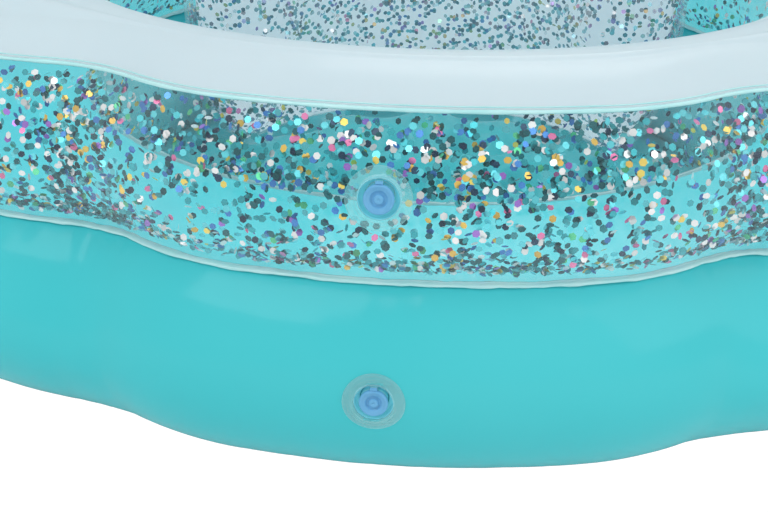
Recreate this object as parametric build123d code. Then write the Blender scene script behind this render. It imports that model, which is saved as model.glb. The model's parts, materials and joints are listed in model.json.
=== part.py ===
from build123d import *
import math
import os
from dataclasses import dataclass

# Sit-in pool float: two air rings stacked round a seat well, an air floor and a crescent
# backrest. Millimetres, +Z up, the backrest towards +Y. The origin is on the ground under
# the middle of the well. Every chamber is welded from sheets, and each has its own valve.

# ---- driving dimensions ----
SHEET = 1.2             # wall of every welded sheet
GAP = 0.4               # clearance between pieces that are not welded together
WELD = 2.4              # height that a weld bead stands proud

WELL_RADIUS = 374.0     # plan radius of the line above which the rings' inner rounds are centred
RIM_FLAT = 14.0         # flat width of the rings at the middle of the front
BASE_RADIUS = 87.5      # round of the lower ring's walls
TOP_RADIUS = 72.5       # round of the upper ring's walls
WELD_REACH = 48.0       # how far out from the rounds' centre the two rings are welded together
PANEL_EDGE = 52.0       # degrees above level where the opaque top panel starts

NOSE_RADIUS = 500.0     # plan arcs of the outline, from the middle of the front to the side
NOSE_TURN = 12.0
CORNER_RADIUS = 130.0
CORNER_TURN = 24.0
WAIST_RADIUS = 170.0
WAIST_TURN = 30.0
SHOULDER_RADIUS = 240.0
SHOULDER_TURN = 50.0

BOTTOM_REACH = 20.0     # how far the bottom sheet reaches out past the rounds' centre
FLOOR_HEIGHT = 34.0     # top of the air floor
COIN_TOP_RADIUS = 26.0  # coin welds that tie the air floor's two sheets together
COIN_FOOT_RADIUS = 11.0
COIN_RINGS = ((0.0, 1), (118.0, 6), (214.0, 11))

BACK_DEPTH = 120.0      # backrest, front to back
BACK_HEIGHT = 300.0
BACK_SPREAD = 64.0      # degrees that the backrest runs each way from the middle of the back
BACK_FIN = 6.0          # welded fin along the top of the backrest

FLANGE_RADIUS = 20.0    # valves
FLANGE_SHEET = 0.9
CUP_RADIUS = 13.2
CUP_WALL = 0.8
CUP_DEPTH = 8.3
STEM_RADIUS = 8.8
STEM_BORE = 5.05
STEM_LENGTH = 13.8
STEM_SET = 1.2          # depth of the stem's rim below the wall at rest
PLUG_RADIUS = 9.25
PLUG_HEAD = 2.5
SHANK_ROOT = 4.95
SHANK_TIP = 4.0
SHANK_LENGTH = 3.2
STRAP_WIDTH = 4.4
STRAP_SHEET = 1.0
HINGE_OUT = 10.6        # plug strap's hinge line: distance from the valve's axis
HINGE_UP = 0.8          # and height above the wall
FLAP_RADIUS = 6.6
FLAP_SHEET = 0.8
FRONT_VALVE_X = -17.0   # the two ring valves sit one above the other, left of the middle
TOP_VALVE_TILT = 9.5
BASE_VALVE_TILT = 4.5
FLOOR_VALVE_Y = -172.0
BACK_VALVE_TURN = 14.0
BACK_VALVE_T = 55.0     # place round the backrest's elliptical section, degrees

# ---- heights that follow ----
SEAM_Z = BASE_RADIUS + math.sqrt(BASE_RADIUS**2 - WELD_REACH**2)
TOP_Z = SEAM_Z + math.sqrt(TOP_RADIUS**2 - WELD_REACH**2)
CROWN_Z = TOP_Z + TOP_RADIUS
BACK_A = BACK_DEPTH / 2
BACK_B = BACK_HEIGHT / 2
BACK_Z = FLOOR_HEIGHT + GAP + BACK_B
BACK_PATH = WELL_RADIUS - BASE_RADIUS - GAP - BACK_A
FRONT_Y = -(WELL_RADIUS + RIM_FLAT)


@dataclass(frozen=True)
class Arc:
    """A plan arc. Its outward normal turns from start by turn degrees, and 0 faces -Y."""

    x: float
    y: float
    radius: float
    start: float
    turn: float

    @property
    def side(self):
        """1 where the outline bulges, -1 where it is hollow."""
        return 1 if self.turn > 0 else -1

    def normal(self, angle):
        a = math.radians(angle)
        return Vector(math.sin(a), -math.cos(a), 0)

    def point(self, angle, offset=0.0):
        reach = self.side * self.radius + offset
        return Vector(self.x, self.y, 0) + self.normal(angle) * reach


def tangent_arc(before, radius, turn):
    """The arc that goes on from the end of another, sharing its tangent."""
    start = before.start + before.turn
    end = before.point(start)
    side = 1 if turn > 0 else -1
    centre = end - before.normal(start) * (side * radius)
    return Arc(centre.X, centre.Y, radius, start, turn)


def outline_quarter():
    """Front-right quarter of the outline, whose last arc closes it at the widest point."""
    nose = Arc(0, FRONT_Y + NOSE_RADIUS, NOSE_RADIUS, 0, NOSE_TURN)
    corner = tangent_arc(nose, CORNER_RADIUS, CORNER_TURN)
    waist = tangent_arc(corner, WAIST_RADIUS, -WAIST_TURN)
    shoulder = tangent_arc(waist, SHOULDER_RADIUS, SHOULDER_TURN)
    start = shoulder.start + shoulder.turn
    side_radius = -shoulder.point(start).Y / math.cos(math.radians(start))
    return [nose, corner, waist, shoulder, tangent_arc(shoulder, side_radius, 90 - start)]


OUTER = outline_quarter()
INNER = [Arc(0, 0, WELL_RADIUS, 0, 90)]


def mirrored(shape):
    """A quarter, joined with its mirror images in both middle planes."""
    half = shape + mirror(shape, about=Plane.YZ)
    return half + mirror(half, about=Plane.XZ)


def upright(arc, angle):
    """The vertical plane across an arc: its x runs outwards and its y runs up."""
    n = arc.normal(angle)
    return Plane(origin=arc.point(angle), x_dir=n, z_dir=(n.Y, -n.X, 0))


def spin(arc, profile, start=None, turn=None):
    """An upright profile carried along a plan arc, or along part of it."""
    start = arc.start if start is None else start
    turn = arc.turn if turn is None else turn
    face = upright(arc, start) * profile
    axis = Axis((arc.x, arc.y, 0), (0, 0, math.copysign(1, turn)))
    return revolve(face, axis, revolution_arc=abs(turn))


def ring(arcs, profile):
    """A profile carried all the way round an outline given by its quarter."""
    quarter = spin(arcs[0], profile)
    for arc in arcs[1:]:
        quarter += spin(arc, profile)
    return mirrored(quarter)


def band(z, radius, start, end, thick=SHEET):
    """Section of a curved wall, from one angle to another above level."""
    outer = CenterArc((0, z), radius, start, end - start)
    inner = CenterArc((0, z), radius - thick, start, end - start)
    return make_face([outer, inner, Line(outer @ 0, inner @ 0), Line(outer @ 1, inner @ 1)])


def strip(low_x, low_z, high_x, high_z):
    """Rectangular section between two corners."""
    middle = Pos((low_x + high_x) / 2, (low_z + high_z) / 2)
    return middle * Rectangle(high_x - low_x, high_z - low_z)


def plan_face(arcs, offset, z):
    """Flat face inside an outline that is set out by an offset."""
    edges = []
    for arc in arcs:
        reach = arc.radius + arc.side * offset
        facing = arc.start - 90 if arc.side > 0 else arc.start + 90
        edges.append(CenterArc((arc.x, arc.y), reach, facing, arc.turn))
    edges += [mirror(e, about=Plane.YZ) for e in edges]
    edges += [mirror(e, about=Plane.XZ) for e in edges]
    return Pos(0, 0, z) * make_face(edges)


def plate(arcs, offset, low, high):
    """Flat sheet inside an outline."""
    return extrude(plan_face(arcs, offset, low), amount=high - low, dir=(0, 0, 1))


def wall_angle(z, centre_z, radius):
    """Angle above level at which a round wall passes a height."""
    return math.degrees(math.asin((z - centre_z) / radius))


# ---- the two rings ----
SEAM_LOW = wall_angle(SEAM_Z - SHEET / 2, BASE_RADIUS, BASE_RADIUS)
SEAM_HIGH = wall_angle(SEAM_Z + SHEET / 2, TOP_Z, TOP_RADIUS)
GROUND_ANGLE = wall_angle(SHEET, BASE_RADIUS, BASE_RADIUS)


def bottom_sheet():
    return plate(OUTER, BOTTOM_REACH, 0, SHEET)


def base_outer_wall():
    return ring(OUTER, band(BASE_RADIUS, BASE_RADIUS, GROUND_ANGLE, SEAM_LOW))


def base_inner_wall():
    return ring(INNER, band(BASE_RADIUS, BASE_RADIUS, 180 - SEAM_LOW, 180 - GROUND_ANGLE))


def divider_sheet():
    low, high = SEAM_Z - SHEET / 2, SEAM_Z + SHEET / 2
    return plate(OUTER, WELD_REACH, low, high) - plate(INNER, -WELD_REACH, low, high)


def glitter_outer_wall():
    return ring(OUTER, band(TOP_Z, TOP_RADIUS, SEAM_HIGH, PANEL_EDGE))


def glitter_inner_wall():
    return ring(INNER, band(TOP_Z, TOP_RADIUS, 180 - PANEL_EDGE, 180 - SEAM_HIGH))


def top_panel():
    outer = ring(OUTER, band(TOP_Z, TOP_RADIUS, PANEL_EDGE, 90))
    inner = ring(INNER, band(TOP_Z, TOP_RADIUS, 90, 180 - PANEL_EDGE))
    low = CROWN_Z - SHEET
    flat = plate(OUTER, 0, low, CROWN_Z) - plate(INNER, 0, low, CROWN_Z)
    return outer + flat + inner


def mid_weld(arcs, side):
    """Bead in the groove between the rings, as far in as the lower ring's wall lets it sit."""
    rise = SEAM_Z - WELD / 2 - GAP - BASE_RADIUS
    near = math.sqrt(BASE_RADIUS**2 - rise**2)
    low, high = sorted((side * near, side * (near + 1.6 * WELD)))
    return ring(arcs, strip(low, SEAM_Z - WELD / 2, high, SEAM_Z + WELD / 2))


def top_weld(arcs, side):
    """Bead where the clear wall is welded to the opaque top panel."""
    half = math.degrees(WELD / TOP_RADIUS)
    middle = PANEL_EDGE if side > 0 else 180 - PANEL_EDGE
    profile = band(TOP_Z, TOP_RADIUS + SHEET, middle - half, middle + half)
    return ring(arcs, profile)


# ---- the air floor ----
def coin_places():
    """Plan places of the coin welds that the backrest and the floor valve leave free."""
    for radius, count in COIN_RINGS:
        for k in range(count):
            place = Vector(0, radius, 0).rotate(Axis.Z, 360 * (k + 0.5) / count)
            from_valve = (place - Vector(0, FLOOR_VALVE_Y, 0)).length
            if from_valve > COIN_TOP_RADIUS + FLANGE_RADIUS:
                yield place


def floor_top_sheet():
    rise = BASE_RADIUS - FLOOR_HEIGHT
    reach = math.sqrt(BASE_RADIUS**2 - rise**2) + GAP
    low = FLOOR_HEIGHT - SHEET
    sheet = Pos(0, 0, low + SHEET / 2) * Cylinder(WELL_RADIUS - reach, SHEET)
    foot = SHEET + GAP
    height = FLOOR_HEIGHT - foot
    cone = Cone(COIN_FOOT_RADIUS, COIN_TOP_RADIUS, height)
    hollow = Cone(COIN_FOOT_RADIUS - SHEET, COIN_TOP_RADIUS - SHEET, height)
    coin = cone - Pos(0, 0, SHEET) * hollow
    middle = foot + height / 2
    for place in coin_places():
        spot = Pos(place.X, place.Y, middle)
        sheet = sheet - spot * cone + spot * coin
    return sheet - valve_hole(FLOOR_VALVE)


# ---- the backrest ----
BACK_ARC = Arc(0, 0, BACK_PATH, 180 - BACK_SPREAD, 2 * BACK_SPREAD)


def quarter_shell(start, grow, thick):
    """A quarter of the backrest's elliptical wall section, from an angle that start gives."""
    a, b = BACK_A + grow, BACK_B + grow
    outer = EllipticalCenterArc((0, BACK_Z), a, b, start, arc_size=90)
    inner = EllipticalCenterArc((0, BACK_Z), a - thick, b - thick, start, arc_size=90)
    return make_face([outer, inner, Line(outer @ 0, inner @ 0), Line(outer @ 1, inner @ 1)])


def half_shell(side, grow=0.0, thick=SHEET):
    """Lower and upper quarter of the section, on the backrest's outer or inner side."""
    starts = (-90, 0) if side > 0 else (180, 90)
    return [quarter_shell(start, grow, thick) for start in starts]


def spin_back(side, start, turn, grow=0.0, thick=SHEET):
    """One side of the backrest's section carried along its plan arc."""
    low, high = half_shell(side, grow, thick)
    return spin(BACK_ARC, low, start, turn) + spin(BACK_ARC, high, start, turn)


def front_half(turn):
    """Clear film from the backrest's middle to the rounded end that lies turn degrees away."""
    last = 180 + turn
    end = BACK_ARC.point(last)
    down = Axis((end.X, end.Y, 0), (0, 0, -math.copysign(1, turn)))
    film = spin_back(-1, 180, turn)
    for quarter in half_shell(-1):
        film += revolve(upright(BACK_ARC, last) * quarter, down, revolution_arc=180)
    return film


def backrest_front_film():
    """Clear front of the backrest, which wraps round both ends."""
    return front_half(BACK_SPREAD) + front_half(-BACK_SPREAD)


def backrest_back_film():
    film = spin_back(1, BACK_ARC.start, BACK_ARC.turn)
    return film - valve_hole(BACK_VALVE)


def backrest_seam():
    top = BACK_Z + BACK_B
    return spin(BACK_ARC, strip(-WELD / 3, top + GAP / 2, WELD / 3, top + BACK_FIN))


# ---- valves ----
@dataclass(frozen=True)
class Valve:
    """A valve's place: z of its plane points out of the chamber, y towards the strap."""

    name: str
    plane: Plane
    curve: float = 0.0      # 1 / radius of the wall across the valve, and 0 on a flat wall

    @property
    def cup_top(self):
        """Height of the cup's rim, just under the wall where that falls away most."""
        return -self.curve * CUP_RADIUS**2 / 2 - GAP


def ring_valve(name, radius, centre_z, tilt):
    nose = OUTER[0]
    turn = math.degrees(math.asin(FRONT_VALVE_X / NOSE_RADIUS))
    n = nose.normal(turn)
    up = Vector(0, 0, 1)
    a = math.radians(tilt)
    out = n * math.cos(a) + up * math.sin(a)
    origin = nose.point(turn) + up * centre_z + out * radius
    return Valve(name, Plane(origin=origin, x_dir=up.cross(n), z_dir=out), 1 / radius)


def back_valve():
    t = math.radians(BACK_VALVE_T)
    n = BACK_ARC.normal(180 - BACK_VALVE_TURN)
    up = Vector(0, 0, 1)
    out = (n * (math.cos(t) / BACK_A) + up * (math.sin(t) / BACK_B)).normalized()
    place = n * (BACK_PATH + BACK_A * math.cos(t)) + up * (BACK_Z + BACK_B * math.sin(t))
    stretch = (BACK_A * math.sin(t)) ** 2 + (BACK_B * math.cos(t)) ** 2
    curve = BACK_A * BACK_B / stretch**1.5
    return Valve("backrest", Plane(origin=place, x_dir=up.cross(n), z_dir=out), curve)


TOP_VALVE = ring_valve("top_ring", TOP_RADIUS, TOP_Z, TOP_VALVE_TILT)
BASE_VALVE = ring_valve("base_ring", BASE_RADIUS, BASE_RADIUS, BASE_VALVE_TILT)
BACK_VALVE = back_valve()
FLOOR_VALVE = Valve("floor", Plane(origin=(0, FLOOR_VALVE_Y, FLOOR_HEIGHT), x_dir=(-1, 0, 0)))


def tube(outer, inner, low, high):
    """Plain ring about the valve's axis."""
    middle = Pos(0, 0, (low + high) / 2)
    return middle * (Cylinder(outer, high - low) - Cylinder(inner, 2 * (high - low)))


def valve_hole(valve):
    """Tool that cuts the chamber's wall for a valve's cup."""
    return valve.plane * Cylinder(CUP_RADIUS + GAP / 4, 4 * CUP_DEPTH)


def valve_flange(valve):
    """Disc welded onto the wall, with a thicker rim bead round its mouth."""
    disc = valve_skin(valve, FLANGE_SHEET) & valve.plane * Cylinder(FLANGE_RADIUS, 4 * CUP_DEPTH)
    bead = valve_skin(valve, 2 * FLANGE_SHEET) & valve.plane * Cylinder(
        CUP_RADIUS + CUP_WALL, 4 * CUP_DEPTH
    )
    return disc + bead - valve.plane * Cylinder(CUP_RADIUS - CUP_WALL, 4 * CUP_DEPTH)


def valve_cup(valve):
    """Soft recess that lets the stem be pushed in flush."""
    low, high = -CUP_DEPTH, valve.cup_top
    wall = tube(CUP_RADIUS, CUP_RADIUS - CUP_WALL, low, high)
    return wall + tube(CUP_RADIUS, STEM_RADIUS + GAP, low, low + CUP_WALL)


def valve_stem():
    """Blowing tube, with the post that carries the plug's strap beside it."""
    top = -STEM_SET
    stem = tube(STEM_RADIUS, STEM_BORE, top - STEM_LENGTH, top)
    post_in = PLUG_RADIUS + GAP
    post_out = HINGE_OUT + STRAP_SHEET / 2
    foot_low, foot_high = -CUP_DEPTH + CUP_WALL + GAP, -4.0
    foot = Pos(0, (STEM_BORE + 1 + post_out) / 2, (foot_low + foot_high) / 2) * Box(
        STRAP_WIDTH, post_out - STEM_BORE - 1, foot_high - foot_low
    )
    post_top = HINGE_UP - STRAP_SHEET
    post = Pos(0, (post_in + post_out) / 2, (foot_low + post_top) / 2) * Box(
        STRAP_WIDTH, post_out - post_in, post_top - foot_low
    )
    return stem + foot + post


def valve_plug():
    """Stopper: a dished head, a tapered shank and a thumb tab."""
    low = -STEM_SET + GAP / 4
    head = tube(PLUG_RADIUS, 3.7, low, low + PLUG_HEAD)
    head += Pos(0, 0, low + PLUG_HEAD / 4) * Cylinder(PLUG_RADIUS - 1, PLUG_HEAD / 2)
    shank = Pos(0, 0, low - SHANK_LENGTH / 2) * Cone(SHANK_TIP, SHANK_ROOT, SHANK_LENGTH)
    tab = Pos(0, -PLUG_RADIUS, low + PLUG_HEAD - STRAP_SHEET / 2) * Box(5, 4, STRAP_SHEET)
    return head + shank + tab


def plug_strap():
    """Short strap from the plug's head to the hinge line on the stem's post."""
    near = PLUG_RADIUS + GAP / 4
    far = HINGE_OUT + STRAP_SHEET / 2
    return Pos(0, (near + far) / 2, HINGE_UP) * Box(STRAP_WIDTH, far - near, STRAP_SHEET)


def valve_flap():
    """One-way flap under the stem's inner end."""
    top = -STEM_SET - STEM_LENGTH - GAP
    return Pos(0, 0, top - FLAP_SHEET / 2) * Cylinder(FLAP_RADIUS, FLAP_SHEET)


def valve_skin(valve, thick):
    """Skin laid over the wall round a valve, from which its flange is cut."""
    if valve is FLOOR_VALVE:
        return valve.plane * Pos(0, 0, thick / 2) * Cylinder(2 * FLANGE_RADIUS, thick)
    if valve is BACK_VALVE:
        return spin_back(1, BACK_ARC.start, BACK_ARC.turn, thick, thick)
    radius, z = (TOP_RADIUS, TOP_Z) if valve is TOP_VALVE else (BASE_RADIUS, BASE_RADIUS)
    profile = band(z, radius + thick, -30, 45, thick)
    return spin(OUTER[0], profile, -NOSE_TURN, 2 * NOSE_TURN)


def valve_parts(valve):
    """Every piece of one valve, by node name."""
    place = valve.plane
    return {
        f"{valve.name}_valve_flange": valve_flange(valve),
        f"{valve.name}_valve_cup": place * valve_cup(valve),
        f"{valve.name}_valve_stem": place * valve_stem(),
        f"{valve.name}_valve_flap": place * valve_flap(),
        f"{valve.name}_valve_plug": place * valve_plug(),
        f"{valve.name}_valve_strap": place * plug_strap(),
    }


def shell_parts():
    """Every welded sheet and weld, by node name."""
    return {
        "bottom_sheet": bottom_sheet(),
        "base_outer_wall": base_outer_wall() - valve_hole(BASE_VALVE),
        "base_inner_wall": base_inner_wall(),
        "divider_sheet": divider_sheet(),
        "glitter_outer_wall": glitter_outer_wall() - valve_hole(TOP_VALVE),
        "glitter_inner_wall": glitter_inner_wall(),
        "top_panel": top_panel(),
        "mid_weld_outer": mid_weld(OUTER, 1),
        "mid_weld_inner": mid_weld(INNER, -1),
        "top_weld_outer": top_weld(OUTER, 1),
        "top_weld_inner": top_weld(INNER, -1),
        "floor_top_sheet": floor_top_sheet(),
        "backrest_front_film": backrest_front_film(),
        "backrest_back_film": backrest_back_film(),
        "backrest_seam": backrest_seam(),
    }


def main():
    os.makedirs("parts", exist_ok=True)
    parts = shell_parts()
    for valve in (BASE_VALVE, TOP_VALVE, FLOOR_VALVE, BACK_VALVE):
        parts.update(valve_parts(valve))
        p = valve.plane
        hinge = p.from_local_coords((0, HINGE_OUT, HINGE_UP))
        flap = p.from_local_coords((0, FLAP_RADIUS, -STEM_SET - STEM_LENGTH - GAP))
        print(valve.name, "out", p.z_dir, "across", p.x_dir, "hinge", hinge, "flap", flap)
    for name, shape in parts.items():
        export_step(shape, f"parts/{name}.step")
    print("seam", SEAM_Z, "crown", CROWN_Z, "backrest top", BACK_Z + BACK_B + BACK_FIN)


main()
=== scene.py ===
"""Looks of a sit-in inflatable pool float.

Two stacked air rings stand round a seat well: the lower one is turquoise vinyl, the upper one
clear film over loose holographic sequins under an opaque white deck. A crescent backrest with
more sequins stands in the well, and every chamber has a push-in valve.
"""

import json
import logging
import math
from dataclasses import dataclass, field
from enum import Enum

import bpy
import numpy as np
from mathutils import Matrix, Vector


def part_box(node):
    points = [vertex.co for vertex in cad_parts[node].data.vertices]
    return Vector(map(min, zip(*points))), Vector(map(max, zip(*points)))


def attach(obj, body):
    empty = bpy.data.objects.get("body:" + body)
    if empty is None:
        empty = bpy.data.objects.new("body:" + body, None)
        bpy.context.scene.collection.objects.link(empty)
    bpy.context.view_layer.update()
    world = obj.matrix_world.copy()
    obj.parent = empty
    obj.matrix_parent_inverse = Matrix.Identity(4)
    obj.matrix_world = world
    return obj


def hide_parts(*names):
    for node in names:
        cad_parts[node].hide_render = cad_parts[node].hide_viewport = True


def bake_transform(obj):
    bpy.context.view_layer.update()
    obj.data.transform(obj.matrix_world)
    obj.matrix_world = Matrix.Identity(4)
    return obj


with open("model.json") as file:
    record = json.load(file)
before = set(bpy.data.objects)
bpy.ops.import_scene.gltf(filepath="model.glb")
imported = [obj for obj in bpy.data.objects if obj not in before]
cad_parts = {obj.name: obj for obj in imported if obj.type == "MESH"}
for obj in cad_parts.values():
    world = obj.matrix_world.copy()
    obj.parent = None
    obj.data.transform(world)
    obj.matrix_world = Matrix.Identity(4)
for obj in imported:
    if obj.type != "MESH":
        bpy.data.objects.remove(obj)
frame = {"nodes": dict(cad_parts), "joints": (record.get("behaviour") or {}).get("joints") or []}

LOG = logging.getLogger("pool_float")
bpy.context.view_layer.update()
MM = 0.001
SHELL_BODY = "float"
VALVE_HOLE = 13.3 * MM      # round hole that every valve's cup passes through
ROUGH_SPREAD = 0.12         # how far vinyl's roughness varies over its surface
PATH_STEP = 5 * MM          # spacing of the places along the backrest


# ---------------------------------------------------------------- small helpers
def span(node: str) -> tuple[Vector, Vector]:
    """Lowest and highest corner of a CAD node at rest.

    Args:
        node: Name of the node.

    Returns:
        The two corners, in metres.
    """
    low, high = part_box(node)
    return Vector(low), Vector(high)


def unit(values: np.ndarray) -> np.ndarray:
    """Rows of an array scaled to length one.

    Args:
        values: Array of shape (..., 3).

    Returns:
        The unit rows.
    """
    return values / np.maximum(np.linalg.norm(values, axis=-1, keepdims=True), 1e-12)


def smoothstep(low: float, high: float, x: np.ndarray) -> np.ndarray:
    """Smooth ramp from 0 at low to 1 at high.

    Args:
        low: Where the ramp starts.
        high: Where the ramp ends.
        x: Values to map.

    Returns:
        The ramp at x.
    """
    t = np.clip((x - low) / (high - low), 0.0, 1.0)
    return t * t * (3 - 2 * t)


def ripple(x: np.ndarray, longest: float, seed: int, octaves: int = 5) -> np.ndarray:
    """Smooth, repeatable noise along one coordinate.

    Args:
        x: Coordinate, in metres.
        longest: Longest wavelength, in metres.
        seed: Seed of the phases.
        octaves: How many waves are added.

    Returns:
        Values of about -1 to 1.
    """
    rng = np.random.default_rng(seed)
    total = np.zeros_like(x)
    for k in range(octaves):
        length = longest / (1.7**k) * rng.uniform(0.85, 1.15)
        total += np.sin(2 * math.pi * x / length + rng.uniform(0, 6.28)) / (1.35**k)
    return total / 2.2


def make_piece(name: str, verts: np.ndarray, faces: list, material: bpy.types.Material,
               smooth: bool = True) -> bpy.types.Object:
    """A mesh object with one material.

    Args:
        name: Name of the piece.
        verts: Vertices, in metres.
        faces: Lists of vertex numbers.
        material: What it is made of.
        smooth: True for smooth shading.

    Returns:
        The new object.
    """
    mesh = bpy.data.meshes.new(name)
    mesh.from_pydata([tuple(v) for v in verts], [], faces)
    mesh.polygons.foreach_set("use_smooth", [smooth] * len(mesh.polygons))
    mesh.materials.append(material)
    mesh.update()
    piece = bpy.data.objects.new(name, mesh)
    bpy.context.scene.collection.objects.link(piece)
    return piece


def grid_faces(rows: int, columns: int, wrap: bool, wrap_columns: bool = False,
               flip: bool = False) -> list:
    """Quads of a grid of vertices that is stored row by row.

    Args:
        rows: Number of rows.
        columns: Number of columns.
        wrap: True if the last row joins the first.
        wrap_columns: True if the last column joins the first.
        flip: True to turn the faces over.

    Returns:
        The quads.
    """
    r = np.arange(rows if wrap else rows - 1)[:, None]
    c = np.arange(columns if wrap_columns else columns - 1)[None, :]
    n, d = (r + 1) % rows, (c + 1) % columns
    quads = np.stack([r * columns + c, n * columns + c, n * columns + d, r * columns + d], -1)
    quads = quads.reshape(-1, 4)
    return (quads[:, ::-1] if flip else quads).tolist()


def dress(piece: bpy.types.Object, body: str = SHELL_BODY, stands_for: tuple = ()) -> None:
    """Says which body a piece rides on and hides the CAD nodes that it stands for.

    Args:
        piece: The piece.
        body: CAD body.
        stands_for: CAD nodes that it hides.
    """
    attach(piece, body)
    if stands_for:
        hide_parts(*stands_for)


def give_thickness(piece: bpy.types.Object, thickness: float) -> None:
    """Makes a closed sheet of an open one, inwards from its face.

    Args:
        piece: The open sheet.
        thickness: Its thickness, in metres.
    """
    solid = piece.modifiers.new("sheet", "SOLIDIFY")
    solid.thickness = thickness
    solid.offset = -1.0
    solid.use_even_offset = False


def report(piece: bpy.types.Object) -> None:
    """Logs a piece and its number of faces."""
    LOG.info("%s: %d faces", piece.name, len(piece.data.polygons))


# ---------------------------------------------------------------- plan outlines
@dataclass(frozen=True)
class PlanLoop:
    """A closed plan curve as sampled points, outward normals and running length."""

    points: np.ndarray
    normals: np.ndarray
    along: np.ndarray
    length: float

    def at(self, distance: np.ndarray) -> tuple[np.ndarray, np.ndarray]:
        """Points and normals at given distances along the loop.

        Args:
            distance: Distances from the middle of the front, in metres.

        Returns:
            Points and unit normals, each of shape (n, 2).
        """
        s = np.mod(distance, self.length)
        grid = np.append(self.along, self.length)
        p = np.vstack([self.points, self.points[:1]])
        n = np.vstack([self.normals, self.normals[:1]])
        point = np.stack([np.interp(s, grid, p[:, k]) for k in (0, 1)], -1)
        normal = np.stack([np.interp(s, grid, n[:, k]) for k in (0, 1)], -1)
        return point, normal / np.linalg.norm(normal, axis=1, keepdims=True)


@dataclass(frozen=True)
class Outline:
    """The lobed outline: tangent plan arcs from the middle of the front to the widest point."""

    front: float
    radii: tuple = (0.500, 0.130, 0.170, 0.240)
    turns: tuple = (12.0, 24.0, -30.0, 50.0)

    def quarter(self, step: float) -> tuple[np.ndarray, np.ndarray]:
        """Points and normals of the front-right quarter.

        Args:
            step: Spacing of the samples, in metres.

        Returns:
            Points and normals, each of shape (n, 2).
        """
        points, normals = [], []
        at, facing = np.array([0.0, self.front]), 0.0
        arcs = list(zip(self.radii, self.turns)) + [(None, None)]
        for radius, turn in arcs:
            if radius is None:
                turn = 90 - facing
                radius = -at[1] / math.cos(math.radians(facing))
            side = math.copysign(1, turn)
            centre = at - side * radius * self.facing(np.array([facing]))[0]
            count = max(3, round(radius * math.radians(abs(turn)) / step))
            angles = facing + turn * np.arange(count) / count
            n = self.facing(angles)
            points.append(centre + side * radius * n)
            normals.append(n)
            facing += turn
            at = centre + side * radius * self.facing(np.array([facing]))[0]
        points.append(at[None, :])
        normals.append(self.facing(np.array([90.0])))
        return np.vstack(points), np.vstack(normals)

    @staticmethod
    def facing(angles: np.ndarray) -> np.ndarray:
        """Plan unit vectors for angles in degrees, where 0 faces the front."""
        a = np.radians(angles)
        return np.stack([np.sin(a), -np.cos(a)], -1)

    def loop(self, step: float) -> PlanLoop:
        """The whole outline, sampled.

        Args:
            step: Spacing of the samples, in metres.

        Returns:
            The closed loop, from the middle of the front and counter-clockwise.
        """
        p, n = self.quarter(step)
        return close_quarter(p, n)


def close_quarter(p: np.ndarray, n: np.ndarray) -> PlanLoop:
    """Mirrors a quarter into a whole loop.

    Args:
        p: Points of the quarter.
        n: Their normals.

    Returns:
        The closed loop.
    """
    back = np.array([1.0, -1.0])
    half_p = np.vstack([p, (p * back)[-2::-1]])
    half_n = np.vstack([n, (n * back)[-2::-1]])
    points = np.vstack([half_p, (half_p * -back)[-2:0:-1]])
    normals = np.vstack([half_n, (half_n * -back)[-2:0:-1]])
    steps = np.linalg.norm(np.roll(points, -1, 0) - points, axis=1)
    along = np.concatenate([[0.0], np.cumsum(steps)[:-1]])
    return PlanLoop(points, normals, along, float(steps.sum()))


def circle_loop(radius: float, step: float) -> PlanLoop:
    """A round plan loop.

    Args:
        radius: Its radius, in metres.
        step: Spacing of the samples, in metres.

    Returns:
        The closed loop.
    """
    count = round(radius * math.pi / 2 / step)
    angles = np.linspace(0, 90, count + 1)
    n = Outline.facing(angles)
    return close_quarter(radius * n, n)


# ---------------------------------------------------------------- materials
class Colour(Enum):
    """Base colours, as linear RGB."""

    TURQUOISE = (0.048, 0.570, 0.625)
    TURQUOISE_PALE = (0.085, 0.620, 0.672)
    WHITE = (0.860, 0.930, 0.975)
    WHITE_PALE = (0.900, 0.960, 0.990)
    BEAD = (0.330, 0.780, 0.800)
    BEAD_PALE = (0.640, 0.920, 0.930)
    FILM = (0.800, 0.930, 0.960)
    VALVE = (0.220, 0.720, 0.780)
    STEM = (0.450, 0.760, 0.840)
    PLUG = (0.120, 0.400, 0.700)
    PLUG_PALE = (0.200, 0.500, 0.780)
    CUP = (0.200, 0.620, 0.740)
    FLAP = (0.500, 0.650, 0.700)


def new_group(name: str, inputs: dict, outputs: dict) -> bpy.types.ShaderNodeTree:
    """An empty shader node group with named sockets.

    Args:
        name: Name of the group.
        inputs: Socket name to (socket type, default value).
        outputs: Socket name to socket type.

    Returns:
        The group.
    """
    group = bpy.data.node_groups.new(name, "ShaderNodeTree")
    for socket, (kind, value) in inputs.items():
        made = group.interface.new_socket(socket, in_out="INPUT", socket_type=kind)
        made.default_value = value
    for socket, kind in outputs.items():
        group.interface.new_socket(socket, in_out="OUTPUT", socket_type=kind)
    return group


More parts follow.
